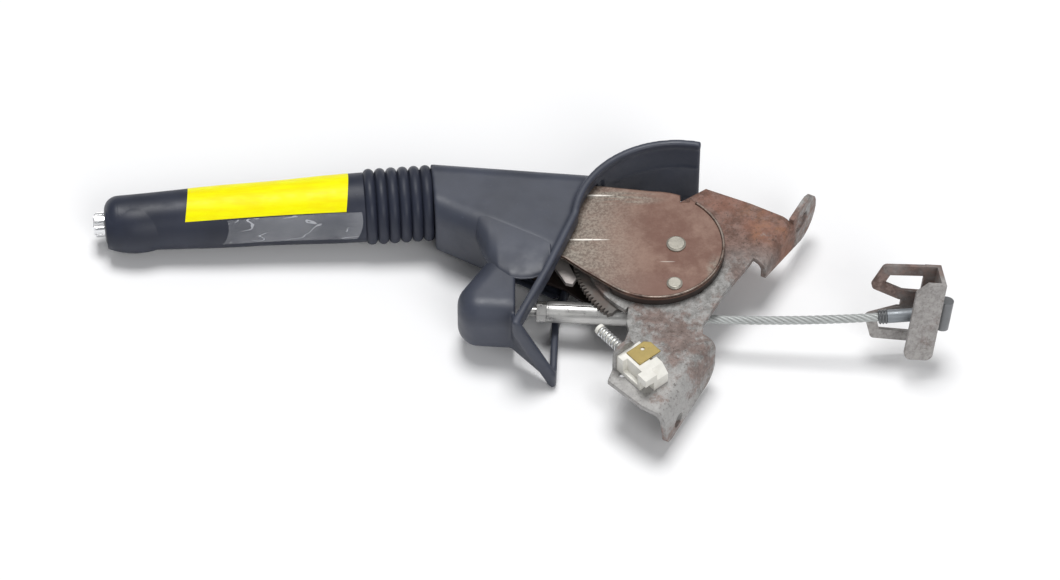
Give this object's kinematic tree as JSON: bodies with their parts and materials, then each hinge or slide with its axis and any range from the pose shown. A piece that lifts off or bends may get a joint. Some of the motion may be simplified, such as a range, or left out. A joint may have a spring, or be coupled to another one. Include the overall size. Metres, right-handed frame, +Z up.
{
  "type": "parking brake lever",
  "caption": "Hand-operated parking brake lever with moulded grip, release button, ratchet bracket, lamp switch, and an adjuster that draws a cable with an equaliser.",
  "frame": {"origin": "centre of the lower fixing hole on the bracket's mounting face", "axes": "the lever lies on its side as pictured: +X along the cable, towards the equaliser; +Y across, towards the grip's upper side; +Z up, along the pivot"},
  "size_m": [0.4781, 0.1856, 0.0546],
  "materials": {
    "worn_steel": "pressed sheet, worn and a little rusty",
    "rusty_steel": "pressed sheet with rust patches",
    "pitted_steel": "pitted zinc with brown rust",
    "pin_steel": "riveted heads, dull",
    "bare_steel": "bright and scuffed",
    "spring_steel": "bright wire",
    "bright_plating": "bright plating",
    "galvanised_rope": "galvanised strands",
    "grey_sleeve": "grey coating",
    "grip_rubber": "soft-touch charcoal",
    "shroud_plastic": "fine-grained charcoal",
    "white_plastic": "white moulding",
    "terminal_brass": "plain brass"
  },
  "bodies": {
    "bracket": {"base_bracket": "rusty_steel", "ratchet_sector": "rusty_steel", "sector_rivets": "pin_steel", "switch_body": "white_plastic", "switch_terminal": "terminal_brass", "switch_spring": "spring_steel"},
    "lever": {"lever_arm": "worn_steel", "pivot_pin": "pin_steel", "pivot_spacers": "pin_steel", "anchor_pin": "pin_steel", "pawl_pin": "pin_steel", "grip": "grip_rubber", "shroud": "shroud_plastic", "rod_guide": "shroud_plastic", "pawl_spring": "spring_steel", "release_spring": "spring_steel"},
    "button": {"release_button": "bright_plating", "release_rod": "spring_steel"},
    "pawl": {"ratchet_pawl": "worn_steel"},
    "adjuster": {"adjuster_sleeve": "bare_steel", "threaded_rod": "bare_steel", "adjuster_nut": "bare_steel", "adjuster_washer": "bare_steel", "cable": "galvanised_rope", "cable_crimp": "bare_steel", "cable_end_sleeve": "grey_sleeve", "cable_nipple": "bare_steel"},
    "equaliser": {"equaliser": "pitted_steel"},
    "plunger": {"switch_plunger": "white_plastic"}
  },
  "joints": [
    {"name": "lever_swing", "type": "hinge", "parent": "bracket", "child": "lever", "pos_m": [-0.00013, 0.102, 0.014], "axis": [0, 0, -1], "range_deg": [-22, 16]},
    {"name": "button_press", "type": "slide", "parent": "lever", "child": "button", "axis": [0.9962, 0.0872, 0], "range_m": [0, 0.005], "stiffness_N_per_m": 600, "springref_m": -0.01, "deforming": ["release_spring"]},
    {"name": "pawl_turn", "type": "hinge", "parent": "lever", "child": "pawl", "pos_m": [-0.07213, 0.114, 0.014], "axis": [0, 0, -1], "range_deg": [0, 14.5]},
    {"name": "adjuster_swing", "type": "hinge", "parent": "lever", "child": "adjuster", "pos_m": [-0.00153, 0.0734, 0.014], "axis": [0, 0, -1], "range_deg": [-16, 22]},
    {"name": "equaliser_rock", "type": "hinge", "parent": "adjuster", "child": "equaliser", "pos_m": [0.14708, 0.06279, 0.01496], "axis": [0.1295, 0.2765, 0.9522], "range_deg": [-10, 1]},
    {"name": "plunger_press", "type": "slide", "parent": "bracket", "child": "plunger", "axis": [0.6428, -0.766, 0], "range_m": [0, 0.006], "stiffness_N_per_m": 250, "springref_m": -0.008, "deforming": ["switch_spring"]}
  ],
  "couplings": [
    {"joint": "pawl_turn", "follows": "button_press", "rad_per_m": 48.72},
    {"joint": "adjuster_swing", "follows": "lever_swing", "ratio": -1}
  ]
}
